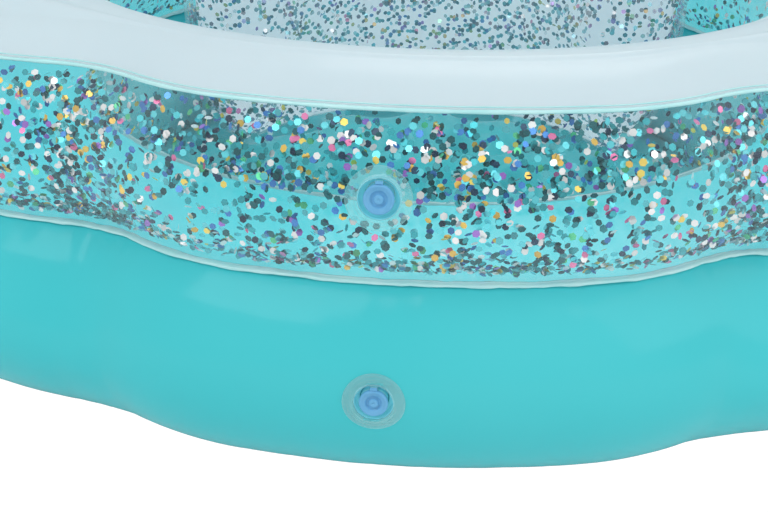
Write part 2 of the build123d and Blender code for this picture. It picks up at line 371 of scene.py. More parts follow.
def vinyl_skin_group() -> bpy.types.ShaderNodeTree:
    """Node group of soft vinyl: two mixed colours, roughness that varies and a fine bump height."""
    group = new_group(
        "VinylSkin",
        {
            "Colour": ("NodeSocketColor", (0.5, 0.5, 0.5, 1)),
            "Pale": ("NodeSocketColor", (0.6, 0.6, 0.6, 1)),
            "Scale": ("NodeSocketFloat", 6.0),
            "Rough": ("NodeSocketFloat", 0.2),
        },
        {"Colour": "NodeSocketColor", "Roughness": "NodeSocketFloat", "Height": "NodeSocketFloat"},
    )
    nodes, links = group.nodes, group.links
    given, made = nodes.new("NodeGroupInput"), nodes.new("NodeGroupOutput")
    where = nodes.new("ShaderNodeTexCoord")
    broad = nodes.new("ShaderNodeTexNoise")
    broad.inputs["Detail"].default_value = 2.0
    links.new(where.outputs["Object"], broad.inputs["Vector"])
    links.new(given.outputs["Scale"], broad.inputs["Scale"])
    mix = nodes.new("ShaderNodeMix")
    mix.data_type = "RGBA"
    links.new(broad.outputs["Fac"], mix.inputs["Factor"])
    links.new(given.outputs["Colour"], mix.inputs["A"])
    links.new(given.outputs["Pale"], mix.inputs["B"])
    links.new(mix.outputs["Result"], made.inputs["Colour"])
    fine = nodes.new("ShaderNodeTexNoise")
    fine.inputs["Scale"].default_value = 60.0
    fine.inputs["Detail"].default_value = 4.0
    links.new(where.outputs["Object"], fine.inputs["Vector"])
    spread = nodes.new("ShaderNodeMath")
    spread.operation = "MULTIPLY_ADD"
    spread.inputs[1].default_value = ROUGH_SPREAD
    links.new(fine.outputs["Fac"], spread.inputs[0])
    links.new(given.outputs["Rough"], spread.inputs[2])
    links.new(spread.outputs[0], made.inputs["Roughness"])
    links.new(fine.outputs["Fac"], made.inputs["Height"])
    return group


def skinned_material(name: str, skin: bpy.types.ShaderNodeTree, rough: float) -> tuple:
    """A material whose roughness varies as the vinyl group says.

    Args:
        name: Name of the material.
        skin: The shared vinyl group.
        rough: Mean roughness.

    Returns:
        The material, its surface shader and its group node.
    """
    material = bpy.data.materials.new(name)
    material.use_nodes = True
    nodes, links = material.node_tree.nodes, material.node_tree.links
    surface, group = nodes["Principled BSDF"], nodes.new("ShaderNodeGroup")
    group.node_tree = skin
    group.inputs["Rough"].default_value = rough - ROUGH_SPREAD / 2
    links.new(group.outputs["Roughness"], surface.inputs["Roughness"])
    return material, surface, group


def mix_shaders(material: bpy.types.Material, first: bpy.types.NodeSocket,
                second: bpy.types.NodeSocket) -> bpy.types.NodeSocket:
    """Mixes two shaders into a material's output.

    Args:
        material: The material.
        first: Shader that shows where the factor is 0.
        second: Shader that shows where the factor is 1.

    Returns:
        The socket of the factor.
    """
    nodes, links = material.node_tree.nodes, material.node_tree.links
    mix = nodes.new("ShaderNodeMixShader")
    links.new(first, mix.inputs[1])
    links.new(second, mix.inputs[2])
    links.new(mix.outputs["Shader"], nodes["Material Output"].inputs["Surface"])
    return mix.inputs["Fac"]


@dataclass(frozen=True)
class VinylFinish:
    """Soft vinyl, opaque or with some light let through, and with an optional glow that is painted light.
    """

    name: str
    colour: Colour
    pale: Colour
    rough: float = 0.16
    scale: float = 6.0
    bump: float = 0.04
    coat: float = 0.04
    shine: float = 0.15
    # glow is emission strength: painted light, so the part gives off light though it is no lamp
    glow: float = 0.0
    through: float = 0.0
    coat_rough: float = 0.06

    def build(self, skin: bpy.types.ShaderNodeTree) -> bpy.types.Material:
        """Makes the material.

        Args:
            skin: The shared vinyl group.

        Returns:
            The material.
        """
        material, surface, group = skinned_material(self.name, skin, self.rough)
        nodes, links = material.node_tree.nodes, material.node_tree.links
        group.inputs["Colour"].default_value = (*self.colour.value, 1)
        group.inputs["Pale"].default_value = (*self.pale.value, 1)
        group.inputs["Scale"].default_value = self.scale
        bump = nodes.new("ShaderNodeBump")
        bump.inputs["Strength"].default_value = self.bump
        bump.inputs["Distance"].default_value = MM
        links.new(group.outputs["Colour"], surface.inputs["Base Color"])
        links.new(group.outputs["Height"], bump.inputs["Height"])
        links.new(bump.outputs["Normal"], surface.inputs["Normal"])
        surface.inputs["Specular IOR Level"].default_value = self.shine
        surface.inputs["Coat Weight"].default_value = self.coat
        surface.inputs["Coat Roughness"].default_value = self.coat_rough
        # Painted light: the vinyl's own colour is given off as emission
        if self.glow:
            links.new(group.outputs["Colour"], surface.inputs["Emission Color"])
            surface.inputs["Emission Strength"].default_value = self.glow
        if self.through:
            passed = nodes.new("ShaderNodeBsdfTranslucent")
            links.new(group.outputs["Colour"], passed.inputs["Color"])
            share = mix_shaders(material, surface.outputs["BSDF"], passed.outputs["BSDF"])
            share.default_value = self.through
        return material


@dataclass(frozen=True)
class FilmFinish:
    """Clear film: see-through face on, and glossier and milkier towards its edges."""

    name: str
    tint: Colour
    pale: Colour = Colour.WHITE_PALE
    haze: float = 0.020
    edge: float = 0.42
    rough: float = 0.09
    blend: float = 0.25

    def build(self, skin: bpy.types.ShaderNodeTree) -> bpy.types.Material:
        """Makes the material.

        Args:
            skin: The shared vinyl group.

        Returns:
            The material.
        """
        material, surface, group = skinned_material(self.name, skin, self.rough)
        nodes, links = material.node_tree.nodes, material.node_tree.links
        group.inputs["Colour"].default_value = (*self.tint.value, 1)
        group.inputs["Pale"].default_value = (*self.pale.value, 1)
        links.new(group.outputs["Colour"], surface.inputs["Base Color"])
        clear = nodes.new("ShaderNodeBsdfTransparent")
        facing = nodes.new("ShaderNodeLayerWeight")
        facing.inputs["Blend"].default_value = self.blend
        amount = nodes.new("ShaderNodeMath")
        amount.operation = "MULTIPLY_ADD"
        amount.use_clamp = True
        amount.inputs[1].default_value = self.edge
        amount.inputs[2].default_value = self.haze
        links.new(facing.outputs["Facing"], amount.inputs[0])
        share = mix_shaders(material, clear.outputs["BSDF"], surface.outputs["BSDF"])
        links.new(amount.outputs[0], share)
        return material


@dataclass(frozen=True)
class SequinFinish:
    """Thin holographic foil that takes each flake's colour: painted glints and painted shade for some
    flakes, foil tints for the rest.
    """

    name: str = "sequin_foil"
    metal: float = 0.55
    rough: float = 0.24

    def build(self, skin: bpy.types.ShaderNodeTree) -> bpy.types.Material:
        """Makes the material.

        Args:
            skin: The shared vinyl group, whose fine grain varies the foil's roughness.

        Returns:
            The material.
        """
        material, surface, _ = skinned_material(self.name, skin, self.rough)
        nodes, links = material.node_tree.nodes, material.node_tree.links
        tint = nodes.new("ShaderNodeVertexColor")
        tint.layer_name = "flake"
        links.new(tint.outputs["Color"], surface.inputs["Base Color"])
        surface.inputs["Metallic"].default_value = self.metal
        return material


@dataclass
class Finishes:
    """Every material of the float, built once."""

    made: dict = field(default_factory=dict)

    def build(self) -> None:
        """Makes all materials."""
        skin = vinyl_skin_group()
        recipes = (
            VinylFinish("turquoise_film", Colour.TURQUOISE, Colour.TURQUOISE_PALE),
            VinylFinish("white_film", Colour.WHITE, Colour.WHITE_PALE, rough=0.32, coat=0.1, shine=0.4,
                        through=0.45),
            VinylFinish("weld_bead", Colour.BEAD, Colour.BEAD_PALE, rough=0.14, scale=40.0, shine=0.5),
            VinylFinish("stem_vinyl", Colour.STEM, Colour.VALVE, rough=0.22, scale=60.0),
            VinylFinish("blue_plug", Colour.PLUG, Colour.PLUG_PALE, rough=0.22, scale=80.0),
            VinylFinish("flap_vinyl", Colour.FLAP, Colour.STEM, rough=0.4, scale=60.0),
            # The backrest's white film glows: painted light that brightens it beyond its real translucency
            VinylFinish("backrest_white", Colour.WHITE, Colour.WHITE_PALE, rough=0.32, shine=0.4,
                        glow=0.18, through=0.3),
            # The divider glows: painted light that lifts the shade inside the upper ring's chamber
            VinylFinish("divider_film", Colour.TURQUOISE, Colour.TURQUOISE_PALE, glow=0.42),
            FilmFinish("clear_film", Colour.FILM),
            FilmFinish("clear_valve", Colour.VALVE, Colour.BEAD_PALE, haze=0.16, edge=0.9, rough=0.08),
            # The cup glows: painted light that lifts the shade inside the valve's recess
            VinylFinish("cup_vinyl", Colour.CUP, Colour.VALVE, rough=0.14, scale=60.0, glow=0.22),
            SequinFinish(),
        )
        for recipe in recipes:
            self.made[recipe.name] = recipe.build(skin)

    def __getitem__(self, name: str) -> bpy.types.Material:
        """The material of a name."""
        return self.made[name]


# ---------------------------------------------------------------- valves' places
@dataclass(frozen=True)
class ValvePlace:
    """Where a valve sits: its axis points out of the chamber, and y points to the plug's strap."""

    name: str
    origin: np.ndarray
    x: np.ndarray
    y: np.ndarray
    out: np.ndarray
    hinge_out: float = 10.6 * MM
    hinge_up: float = 0.8 * MM

    @classmethod
    def read(cls, name: str, joints: list) -> "ValvePlace":
        """Works out a valve's place from the joints of its stem and plug.

        Args:
            name: The valve's name.
            joints: The frame's joints.

        Returns:
            The place.
        """
        found = {j["name"]: j for j in joints}
        hinge = found[f"{name}_plug_hinge"]
        out = unit(np.array(found[f"{name}_stem_slide"]["axis"], float))
        across = unit(-np.array(hinge["axis"], float))
        y = np.cross(out, across)
        origin = np.array(hinge["pos_m"], float) - cls.hinge_out * y - cls.hinge_up * out
        return cls(name, origin, across, y, out)

    def world(self, local: np.ndarray) -> np.ndarray:
        """Points of the valve's own frame, in the row frame."""
        return self.origin + local @ np.stack([self.x, self.y, self.out])

    def local(self, points: np.ndarray) -> np.ndarray:
        """Points of the row frame, in the valve's own frame."""
        return (points - self.origin) @ np.stack([self.x, self.y, self.out]).T


def open_round(verts: np.ndarray, faces: list, place: ValvePlace, radius: float) -> tuple:
    """Cuts a clean round hole for a valve in a gridded wall.

    Args:
        verts: Vertices of the wall.
        faces: Its faces.
        place: The valve's place.
        radius: Radius of the hole.

    Returns:
        The vertices and faces with the hole.
    """
    local = place.local(verts)
    reach = np.hypot(local[:, 0], local[:, 1])
    inside = (reach < radius + 1.5 * MM) & (np.abs(local[:, 2]) < 20 * MM)
    scale = np.where(inside, radius / np.maximum(reach, 1e-9), 1.0)
    local[:, :2] *= scale[:, None]
    kept = [f for f in faces if not all(inside[i] for i in f)]
    return place.world(local), kept


# ---------------------------------------------------------------- rings
@dataclass(frozen=True)
class Section:
    """Round wall section of an air ring."""

    centre: float
    radius: float
    low: float
    high: float

    def sample(self, step: float) -> tuple[np.ndarray, np.ndarray, np.ndarray]:
        """Offsets, heights and angles along the section.

        Args:
            step: Spacing, in metres.

        Returns:
            Three arrays.
        """
        count = max(4, round(self.radius * math.radians(self.high - self.low) / step))
        angle = np.radians(np.linspace(self.low, self.high, count + 1))
        return self.radius * np.cos(angle), self.centre + self.radius * np.sin(angle), angle


@dataclass
class Rings:
    """The two stacked air rings: their walls, the white deck and the weld beads."""

    finishes: Finishes
    valves: dict
    weld_reach: float = 48 * MM
    panel_edge: float = 52.0
    well_radius: float = 374 * MM
    step: float = 5 * MM
    pucker: float = 1.5 * MM
    pucker_reach: float = 20 * MM
    film: float = 1.0 * MM
    waist_at: float = 215 * MM
    waist_reach: float = 75 * MM
    waist_swell: float = 9 * MM
    dome: float = 0.13
    highest: float = 20 * MM
    upper_pucker: float = 0.45
    upper_edge: float = 0.6
    slack_from: float = -0.25
    slack_to: float = 0.55
    sheet: float = 1.2 * MM
    deck_columns: int = 26
    deck_arc: int = 12
    bead_sides: int = 10
    mid_bead: tuple = (2.6 * MM, 3.2 * MM, 1.7 * MM, 0.5 * MM)
    top_bead: float = 1.3
    top_line: float = 0.45
    line_gap: float = 3.4 * MM

    def __post_init__(self) -> None:
        """Reads the rings' heights and plan from the frame."""
        base_low, base_high = span("base_outer_wall")
        _, deck_high = span("top_panel")
        seam_low, seam_high = span("divider_sheet")
        self.seam = (seam_low.z + seam_high.z) / 2
        self.base_radius = (self.seam**2 + self.weld_reach**2) / (2 * self.seam)
        self.crown = deck_high.z
        rise = self.crown - self.seam
        self.top_radius = (rise**2 + self.weld_reach**2) / (2 * rise)
        self.top_centre = self.crown - self.top_radius
        self.outer = Outline(base_low.y + self.base_radius).loop(self.step)
        self.inner = circle_loop(self.well_radius, self.step)

    def section(self, upper: bool) -> Section:
        """Section of the upper or of the lower ring's wall."""
        if upper:
            low = math.degrees(math.asin((self.seam - self.top_centre) / self.top_radius))
            return Section(self.top_centre, self.top_radius, low, self.panel_edge)
        low = math.degrees(math.asin((self.sheet - self.base_radius) / self.base_radius))
        high = math.degrees(math.asin((self.seam - self.base_radius) / self.base_radius))
        return Section(self.base_radius, self.base_radius, low, high)

    def fullness(self, loop: PlanLoop) -> np.ndarray:
        """How far the lower wall swells out at the four waists, where slack gathers.

        Args:
            loop: The outline.

        Returns:
            A distance for each point of the outline.
        """
        swell = np.zeros_like(loop.along)
        for half in (0.0, 0.5):
            for side in (-1, 1):
                at = (half * loop.length + side * self.waist_at) % loop.length
                away = np.abs(loop.along - at)
                away = np.minimum(away, loop.length - away)
                swell += np.exp(-((away / self.waist_reach) ** 2))
        return self.waist_swell * swell

    def wall(self, name: str, upper: bool, outer: bool, slot: str, valve: str = "") -> None:
        """Builds one wall with puckers along its welds.

        Args:
            name: CAD node that it stands for.
            upper: True for the upper ring.
            outer: True for the outside, False for the side of the well.
            slot: Its finish.
            valve: Name of the valve that it carries, if any.
        """
        loop = self.outer if outer else self.inner
        side = 1.0 if outer else -1.0
        section = self.section(upper)
        u, z, angle = section.sample(self.step)
        from_low = (angle - angle[0]) * section.radius
        from_high = (angle[-1] - angle) * section.radius
        seed = 11 + 2 * upper + outer
        low_wave = ripple(loop.along, 0.075, seed)[:, None]
        high_wave = ripple(loop.along, 0.060, seed + 7)[:, None]
        fade = np.exp(-from_low / self.pucker_reach) * (from_low > 0)
        rise = np.exp(-from_high / self.pucker_reach) * (from_high > 0)
        strength = self.pucker * (self.upper_pucker if upper else 1.0)
        push = strength * (low_wave * fade + self.upper_edge * high_wave * rise)
        reach = side * (u[None, :] + push * np.cos(angle))
        if outer and not upper:
            low_share = 1 - smoothstep(self.slack_from, self.slack_to, angle)
            reach = reach + self.fullness(loop)[:, None] * low_share[None, :]
        verts = np.empty((len(loop.points), len(u), 3))
        verts[..., :2] = loop.points[:, None, :] + loop.normals[:, None, :] * reach[..., None]
        verts[..., 2] = np.maximum(z[None, :] + push * np.sin(angle), 0.0)
        verts = verts.reshape(-1, 3)
        faces = grid_faces(len(loop.points), len(u), wrap=True, flip=not outer)
        if valve:
            verts, faces = open_round(verts, faces, self.valves[valve], VALVE_HOLE)
        piece = make_piece(f"{name}_skin", verts, faces, self.finishes[slot])
        if slot != "clear_film":
            give_thickness(piece, self.film)
        dress(piece, stands_for=(name,))
        report(piece)

    def deck(self) -> None:
        """Builds the white top panel, which domes where the ring is wide."""
        start = math.radians(self.panel_edge)
        arc = np.linspace(start, math.pi / 2, self.deck_arc)
        outer_p, outer_n = self.outer.points, self.outer.normals
        inner_n = unit(outer_p)
        inner_p = inner_n * self.well_radius
        width = np.linalg.norm(outer_p - inner_p, axis=1)
        swell = self.highest * (1 - np.exp(-self.dome * width / self.highest))
        columns = []
        for a in arc:
            flat = outer_p + outer_n * self.top_radius * math.cos(a)
            height = np.full(len(flat), self.top_centre + self.top_radius * math.sin(a))
            columns.append(np.column_stack([flat, height]))
        for t in np.linspace(0, 1, self.deck_columns)[1:-1]:
            flat = outer_p * (1 - t) + inner_p * t
            height = self.crown + swell * math.sin(math.pi * t) ** 2
            columns.append(np.column_stack([flat, height]))
        for a in arc[::-1]:
            flat = inner_p - inner_n * self.top_radius * math.cos(a)
            height = np.full(len(flat), self.top_centre + self.top_radius * math.sin(a))
            columns.append(np.column_stack([flat, height]))
        verts = np.stack(columns, 1)
        faces = grid_faces(len(outer_p), verts.shape[1], wrap=True)
        piece = make_piece("top_panel_skin", verts.reshape(-1, 3), faces, self.finishes["white_film"])
        give_thickness(piece, self.film)
        dress(piece, stands_for=("top_panel",))
        report(piece)

    def bead(self, name: str, outer: bool, reach: float, height: float, wide: float, tall: float,
             node: str = "", wave: float = 0.0) -> None:
        """Builds a rounded weld bead round an outline.

        Args:
            name: Name of the piece.
            outer: True for the outside.
            reach: Offset of its middle from the outline.
            height: Height of its middle.
            wide: Half its width, outwards.
            tall: Half its height.
            node: CAD node that it stands for, if any.
            wave: How far it wanders up and down.
        """
        loop = self.outer if outer else self.inner
        side = 1.0 if outer else -1.0
        turn = np.linspace(0, 2 * math.pi, self.bead_sides + 1)[:-1]
        swell = 1 + 0.18 * ripple(loop.along, 0.045, len(name))
        drift = wave * ripple(loop.along, 0.09, len(name) + 3)
        u = side * (reach + wide * np.cos(turn)[None, :] * swell[:, None])
        z = height + drift[:, None] + tall * np.sin(turn)[None, :] * swell[:, None]
        rows = np.empty((len(loop.points), len(turn), 3))
        rows[..., :2] = loop.points[:, None, :] + loop.normals[:, None, :] * u[..., None]
        rows[..., 2] = z
        faces = grid_faces(len(loop.points), len(turn), wrap=True, wrap_columns=True, flip=not outer)
        piece = make_piece(name, rows.reshape(-1, 3), faces, self.finishes["weld_bead"])
        dress(piece, stands_for=(node,) if node else ())
        report(piece)

    def build(self) -> None:
        """Builds every piece of both rings."""
        self.wall("base_outer_wall", False, True, "turquoise_film", "base_ring")
        self.wall("base_inner_wall", False, False, "turquoise_film")
        self.wall("glitter_outer_wall", True, True, "clear_film", "top_ring")
        self.wall("glitter_inner_wall", True, False, "clear_film")
        self.deck()
        edge = math.radians(self.panel_edge)
        line = edge + self.line_gap / self.top_radius
        out, wide, tall, wave = self.mid_bead
        for outer, end in ((True, "outer"), (False, "inner")):
            self.bead(f"mid_bead_{end}", outer, self.weld_reach + out, self.seam, wide, tall,
                      f"mid_weld_{end}", wave)
            for name, a, half, node in (
                (f"top_bead_{end}", edge, self.top_bead, f"top_weld_{end}"),
                (f"top_line_{end}", line, self.top_line, ""),
            ):
                self.bead(name, outer, self.top_radius * math.cos(a),
                          self.top_centre + self.top_radius * math.sin(a), half * MM, half * MM, node)


# ---------------------------------------------------------------- air floor and backrest
@dataclass
class AirFloor:
    """The quilted air floor, whose sheet bulges between its coin welds."""

    finishes: Finishes
    valves: dict
    cell: float = 4 * MM
    puff: float = 7 * MM
    around: int = 360
    coin_radius: float = 12 * MM
    coin_reach: float = 46 * MM
    coin_foot: float = 5 * MM
    coin_depth: float = 0.9
    rim_reach: float = 40 * MM
    calm: tuple = (24 * MM, 60 * MM)
    press: tuple = (14 * MM, 42 * MM)
    rings: tuple = ((0.0, 1), (0.118, 6), (0.214, 11))
    backrest_spread: float = math.radians(64.0)

    def coins(self) -> np.ndarray:
        """Plan places of the coin welds."""
        valve = self.valves["floor"].origin[:2]
        places = []
        for radius, count in self.rings:
            for k in range(count):
                a = 2 * math.pi * (k + 0.5) / count
                spot = np.array([-radius * math.sin(a), radius * math.cos(a)])
                if np.linalg.norm(spot - valve) > self.coin_reach:
                    places.append(spot)
        return np.array(places)

    def pressed(self, flat: np.ndarray) -> np.ndarray:
        """Share of the bulge that is left where the backrest stands on the sheet.

        Args:
            flat: Plan points of the sheet.

        Returns:
            From 0 under the backrest to 1 clear of it.
        """
        _, front = span("backrest_front_film")
        turn = np.arctan2(flat[:, 0], flat[:, 1])
        held = np.clip(turn, -self.backrest_spread, self.backrest_spread)
        nearest = np.stack([np.sin(held), np.cos(held)], -1) * front.y
        return smoothstep(*self.press, np.linalg.norm(flat - nearest, axis=1))

    def build(self) -> None:
        """Builds the floor as a skin that swells between its rim, its coins and its valve."""
        low, high = span("floor_top_sheet")
        radius, top = high.x, high.z
        radial, around = round(radius / self.cell), self.around
        r = np.linspace(0, 1, radial + 1)[1:] * radius
        a = np.linspace(0, 2 * math.pi, around, endpoint=False)
        plan = np.stack([np.outer(r, np.sin(a)), -np.outer(r, np.cos(a))], -1)
        flat = plan.reshape(-1, 2)
        nearest = np.min(np.linalg.norm(flat[:, None] - self.coins()[None], axis=2), axis=1)
        dip = 1 - smoothstep(self.coin_radius, self.coin_reach, nearest)
        rim = smoothstep(0, self.rim_reach, radius - np.linalg.norm(flat, axis=1))
        valve = self.valves["floor"]
        calm = smoothstep(*self.calm, np.linalg.norm(flat - valve.origin[:2], axis=1))
        swell = self.puff * rim * (1 - dip) * calm * self.pressed(flat)
        z = top + swell - (top - self.coin_foot) * dip * self.coin_depth
        middle = np.array([[0, 0, z[:around].mean()]])
        verts = np.vstack([middle, np.column_stack([flat, z])])
        faces = [[0, 1 + k, 1 + (k + 1) % around] for k in range(around)]
        for i in range(radial - 1):
            at, up = 1 + i * around, 1 + (i + 1) * around
            faces += [[at + k, up + k, up + (k + 1) % around, at + (k + 1) % around]
                      for k in range(around)]
        verts, faces = open_round(verts, faces, valve, VALVE_HOLE)
        piece = make_piece("air_floor_skin", verts, faces, self.finishes["turquoise_film"])
        give_thickness(piece, MM)
        dress(piece, stands_for=("floor_top_sheet",))
        report(piece)


@dataclass
class Backrest:
    """The crescent backrest: clear front film round white back film, joined by a welded fin."""

    finishes: Finishes
    valves: dict
    spread: float = 64.0
    rows: int = 56
    path_places: int = 120
    cap_places: int = 40
    pucker: float = 2.2 * MM
    pucker_fade: float = 0.22
    fin_rows: int = 5
    fin_root: float = 1 * MM
    fin_sway: float = 1.3 * MM
    fin_sheet: float = 1.6 * MM
    valve_bend: tuple = (3.4, 9.3)

    def __post_init__(self) -> None:
        """Reads the backrest's size from the frame."""
        low, high = span("backrest_back_film")
        self.half_height = (high.z - low.z) / 2
        self.middle = (high.z + low.z) / 2
        front_low, front_high = span("backrest_front_film")
        self.path = front_high.y
        self.half_depth = high.y - self.path

    def plan(self, back: bool) -> tuple[np.ndarray, np.ndarray]:
        """Middle points and outward directions round one film of the crescent.

        Args:
            back: True for the back film, False for the front film with both ends.

        Returns:
            Points on the path and unit directions, each of shape (n, 2).
        """
        turn = np.radians(np.linspace(-self.spread, self.spread, self.path_places))
        radial = np.stack([np.sin(turn), np.cos(turn)], -1)
        if back:
            return radial[::-1] * self.path, radial[::-1]
        cap = np.linspace(0, math.pi, self.cap_places)[1:-1]
        bases, ways = [], []
        for end, way in ((0, 1), (-1, -1)):
            r = radial[end]
            t = np.array([-r[1], r[0]]) * way
            ways.append(np.outer(np.cos(cap), r) + np.outer(np.sin(cap), t))
            bases.append(np.repeat(r[None] * self.path, len(cap), 0))
        base = np.vstack([bases[0], radial * self.path, bases[1][::-1]])
        return base, np.vstack([ways[0], -radial, ways[1][::-1]])

    def film(self, name: str, back: bool, slot: str) -> None:
        """Builds one film with puckers along the top and bottom seam.

        Args:
            name: CAD node that it stands for.
            back: True for the back film.
            slot: Its finish.
        """
        base, way = self.plan(back)
        phi = np.linspace(-math.pi / 2, math.pi / 2, self.rows)
        along = np.arange(len(base)) * PATH_STEP
        wave = ripple(along, 0.07, 31 + back)[:, None]
        edge = np.exp(-(math.pi / 2 - np.abs(phi)) / self.pucker_fade)[None, :]
        reach = self.half_depth * np.cos(phi)[None, :] + self.pucker * wave * edge * np.cos(phi) ** 0.5
        verts = np.empty((len(base), self.rows, 3))
        verts[..., :2] = base[:, None] + way[:, None] * reach[..., None]
        verts[..., 2] = self.middle + self.half_height * np.sin(phi)[None, :]
        verts = verts.reshape(-1, 3)
        faces = grid_faces(len(base), self.rows, wrap=False, flip=True)
        if back:
            verts, faces = open_round(verts, faces, self.valves["backrest"], VALVE_HOLE)
        finish = self.finishes["backrest_white" if back else slot]
        piece = make_piece(f"{name}_skin", verts, faces, finish)
        if back:
            give_thickness(piece, MM)
        dress(piece, stands_for=(name,))
        report(piece)

    def fin(self) -> None:
        """Builds the wavy welded fin along the top."""
        _, high = span("backrest_seam")
        base, way = self.plan(True)
        levels = np.linspace(self.middle + self.half_height - self.fin_root, high.z, self.fin_rows)
        along = np.arange(len(base)) * PATH_STEP
        share = np.linspace(0, 1, self.fin_rows)[None, :]
        lean = self.fin_sway * ripple(along, 0.06, 5)[:, None] * share
        verts = np.empty((len(base), self.fin_rows, 3))
        verts[..., :2] = base[:, None] + way[:, None] * lean[..., None]
        verts[..., 2] = levels[None, :]
        faces = grid_faces(len(base), self.fin_rows, wrap=False)
        piece = make_piece("backrest_fin", verts.reshape(-1, 3), faces, self.finishes["weld_bead"])
        give_thickness(piece, self.fin_sheet)
        dress(piece, stands_for=("backrest_seam",))
        report(piece)

    def build(self) -> None:
        """Builds the three pieces."""
        self.film("backrest_front_film", False, "clear_film")
        self.film("backrest_back_film", True, "white_film")
        self.fin()


# ---------------------------------------------------------------- sequins
@dataclass(frozen=True)
class FlakeMix:
    """Shares of the sequins' colours, as linear RGB; the darkest teal and navy stand for painted shade and
    the white for painted glints.
    """

    # Near-black teal and navy tints are painted shade and the white tint is painted glint; the other hues
    # are the foil's holographic tints
    tints: tuple = (
        ((0.012, 0.130, 0.150), 17), ((0.012, 0.050, 0.100), 8), ((0.030, 0.380, 0.430), 18),
        ((0.130, 0.680, 0.760), 18), ((0.060, 0.240, 0.600), 9), ((0.950, 1.000, 1.000), 15),
        ((0.950, 0.640, 0.140), 6), ((0.850, 0.240, 0.480), 3), ((0.380, 0.190, 0.680), 3),
        ((0.100, 0.600, 0.300), 3),
    )

    def pick(self, rng: np.random.Generator, count: int, pale: float = 0.0) -> np.ndarray:
        """Colours for a number of flakes.

        Args:
            rng: Source of chance.
            count: How many.
            pale: Share by which they are mixed with a pale lavender.

        Returns:
            Linear RGBA rows.
        """
        weights = np.array([w for _, w in self.tints], float)
        chosen = rng.choice(len(weights), count, p=weights / weights.sum())
        rgb = np.array([c for c, _ in self.tints])[chosen]
        rgb = rgb * rng.uniform(0.7, 1.3, (count, 1))
        rgb = rgb * (1 - pale) + np.array([0.72, 0.74, 0.86]) * pale
        return np.column_stack([np.clip(rgb, 0, 1), np.ones(count)])


@dataclass
class Sequins:
    """Loose six-sided sequins that cling to the inside of the clear films."""

    finishes: Finishes
    rings: Rings
    backrest: Backrest
    mix: FlakeMix = field(default_factory=FlakeMix)
    radius: float = 2.5 * MM
    tilt: float = 0.36
    depth: tuple = (3.2, 7.0)
    edge_gap: tuple = (4, 3)
    pool_spread: float = 0.10
    outer_counts: tuple = (16500, 3000)
    inner_counts: tuple = (3600, 700)
    backrest_count: int = 7000
    backrest_pale: float = 0.4
    valve_clear: float = 16.5 * MM

    def flakes(self, name: str, centre: np.ndarray, normal: np.ndarray, seed: int,
               pale: float = 0.0) -> None:
        """Builds one body of sequins as six-sided foils.

        Args:
            name: Name of the piece.
            centre: Their middles.
            normal: Directions that they roughly face.
            seed: Seed of the chance.
            pale: Share by which their colours are washed out.
        """
        rng = np.random.default_rng(seed)
        n = unit(normal + rng.normal(0, self.tilt, normal.shape))
        side = unit(np.cross(n, rng.normal(0, 1, n.shape)))
        up = np.cross(n, side)
        turn = np.arange(6) * math.pi / 3
        size = self.radius * rng.uniform(0.9, 1.05, (len(n), 1, 1))
        spread = np.cos(turn)[None, :, None] * side[:, None] + np.sin(turn)[None, :, None] * up[:, None]
        verts = (centre[:, None] + size * spread).reshape(-1, 3)
        faces = np.arange(len(verts)).reshape(-1, 6).tolist()
        piece = make_piece(name, verts, faces, self.finishes["sequin_foil"], smooth=False)
        tints = np.repeat(self.mix.pick(rng, len(n), pale), 6, axis=0)
        layer = piece.data.attributes.new("flake", "FLOAT_COLOR", "CORNER")
        layer.data.foreach_set("color", tints.astype(np.float32).ravel())
        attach(piece, SHELL_BODY)
        report(piece)

    def on_ring(self, outer: bool, count: int, pooled: int, seed: int) -> tuple:
        """Places behind a clear wall of the upper ring, denser along its lower weld.

        Args:
            outer: True for the outer wall.
            count: How many are spread evenly.
            pooled: How many more lie along the weld.
            seed: Seed of the chance.

        Returns:
            Middles and wall normals.
        """
        rng = np.random.default_rng(seed)
        loop = self.rings.outer if outer else self.rings.inner
        side = 1.0 if outer else -1.0
        section = self.rings.section(True)
        foot, head = self.edge_gap
        low, high = math.radians(section.low + foot), math.radians(section.high - head)
        angle = np.concatenate([rng.uniform(low, high, count),
                                low + np.abs(rng.normal(0, self.pool_spread, pooled))])
        total = count + pooled
        point, n = loop.at(rng.uniform(0, loop.length, total))
        reach = section.radius - rng.uniform(*self.depth, total) * MM
        normal = np.column_stack([side * n * np.cos(angle)[:, None], np.sin(angle)])
        centre = np.column_stack([point, np.full(total, section.centre)]) + normal * reach[:, None]
        return centre, normal

    def in_backrest(self, count: int, seed: int) -> tuple:
        """Places behind the clear film of the backrest."""
        rng = np.random.default_rng(seed)
        base, way = self.backrest.plan(False)
        pick = rng.integers(0, len(base), count)
        phi = np.arcsin(rng.uniform(-0.99, 0.985, count))
        deep = rng.uniform(*self.depth, count) * MM
        b, w = base[pick], way[pick]
        out = np.column_stack([w * np.cos(phi)[:, None], np.sin(phi) * 0.4])
        reach = (self.backrest.half_depth - deep) * np.cos(phi)
        z = self.backrest.middle + (self.backrest.half_height - deep) * np.sin(phi)
        return np.column_stack([b + w * reach[:, None], z]), unit(out)

    def build(self) -> None:
        """Builds the three bodies of sequins, clear of the valves."""
        for name, outer, count, pooled, seed in (
            ("sequins_outer", True, *self.outer_counts, 41),
            ("sequins_inner", False, *self.inner_counts, 42),
        ):
            centre, normal = self.on_ring(outer, count, pooled, seed)
            local = self.rings.valves["top_ring"].local(centre)
            clear = np.linalg.norm(local[:, :2], axis=1) > self.valve_clear if outer else slice(None)
            self.flakes(name, centre[clear], normal[clear], seed)
        centre, normal = self.in_backrest(self.backrest_count, 43)
        self.flakes("sequins_backrest", centre, normal, 43, pale=self.backrest_pale)


